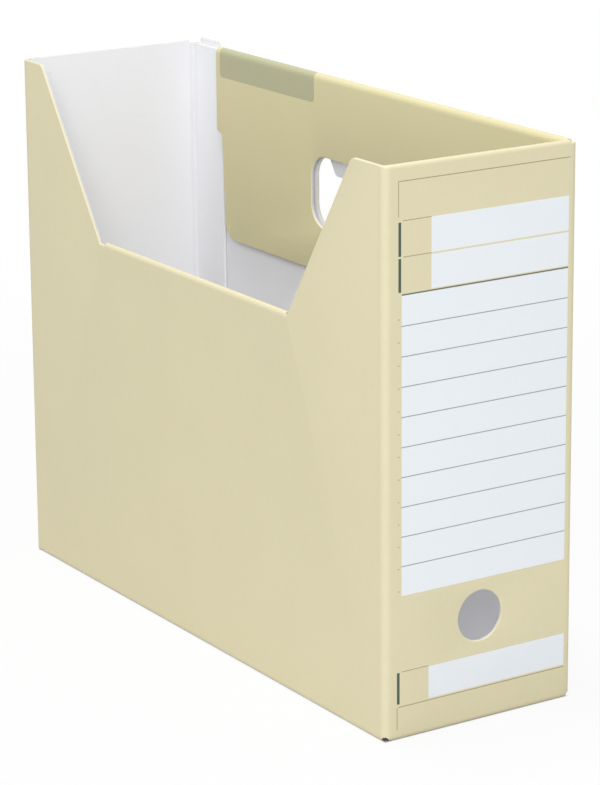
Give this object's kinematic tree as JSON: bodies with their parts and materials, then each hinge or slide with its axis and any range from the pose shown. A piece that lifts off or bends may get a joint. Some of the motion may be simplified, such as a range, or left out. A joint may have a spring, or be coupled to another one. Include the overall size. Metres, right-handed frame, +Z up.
{
  "type": "file box",
  "caption": "Upright paperboard file box for landscape A4 sheets, with a V-cut side, a labelled end with a finger hole and a hand hole in the far side.",
  "frame": {"origin": "on the floor, under the middle of the box's outside", "axes": "+X towards the narrow labelled end, -Y towards the long side with the V-cut, +Z up"},
  "size_m": [0.316, 0.101, 0.2558],
  "materials": {
    "yellow_board": "matt pale yellow facing paper on grey-white board",
    "white_liner": "matt white inner liner of the same board"
  },
  "bodies": {
    "root": {"near_side_panel": "yellow_board", "near_fold": "yellow_board", "near_front_crease": "yellow_board", "front_panel": "yellow_board", "front_fold": "yellow_board", "far_front_crease": "yellow_board", "far_side_panel": "yellow_board", "far_fold": "yellow_board", "near_back_crease": "yellow_board", "back_panel": "yellow_board", "tab_crease": "yellow_board", "glue_tab": "white_liner", "near_bottom_crease": "yellow_board", "front_bottom_crease": "yellow_board", "back_bottom_crease": "yellow_board"},
    "near_flap": {"near_inner_flap": "yellow_board"},
    "front_flap": {"front_inner_flap": "yellow_board"},
    "far_flap": {"far_inner_flap": "yellow_board"},
    "grip": {"grip_tab": "yellow_board"},
    "floor": {"floor_flap": "yellow_board", "lip_crease": "yellow_board"},
    "lip": {"tuck_lip": "white_liner"},
    "front_dust": {"front_dust_flap": "white_liner"},
    "back_dust": {"back_dust_flap": "white_liner"}
  },
  "joints": [
    {"name": "near_flap_fold", "type": "hinge", "parent": "root", "child": "near_flap", "pos_m": [0, -0.0488, 0.1743], "axis": [1, 0, 0], "range_deg": [0, 178], "deforming": ["near_fold"]},
    {"name": "front_flap_fold", "type": "hinge", "parent": "root", "child": "front_flap", "pos_m": [0.1563, 0, 0.2523], "axis": [0, 1, 0], "range_deg": [0, 178], "deforming": ["front_fold"]},
    {"name": "far_flap_fold", "type": "hinge", "parent": "root", "child": "far_flap", "pos_m": [0, 0.04805, 0.25155], "axis": [-1, 0, 0], "range_deg": [0, 178], "deforming": ["far_fold"]},
    {"name": "grip_fold", "type": "hinge", "parent": "root", "child": "grip", "pos_m": [0, 0.049, 0.21385], "axis": [-1, 0, 0], "range_deg": [0, 80]},
    {"name": "floor_fold", "type": "hinge", "parent": "root", "child": "floor", "pos_m": [0, -0.048, 0.0025], "axis": [-1, 0, 0], "range_deg": [0, 90], "deforming": ["near_bottom_crease"]},
    {"name": "lip_fold", "type": "hinge", "parent": "floor", "child": "lip", "pos_m": [0, 0.0454, 0.0025], "axis": [1, 0, 0], "range_deg": [0, 80], "deforming": ["lip_crease"]},
    {"name": "front_dust_fold", "type": "hinge", "parent": "root", "child": "front_dust", "pos_m": [0.1562, 0, 0.0033], "axis": [0, 1, 0], "range_deg": [0, 90], "deforming": ["front_bottom_crease"]},
    {"name": "back_dust_fold", "type": "hinge", "parent": "root", "child": "back_dust", "pos_m": [-0.1562, 0, 0.0033], "axis": [0, -1, 0], "range_deg": [0, 90], "deforming": ["back_bottom_crease"]}
  ]
}
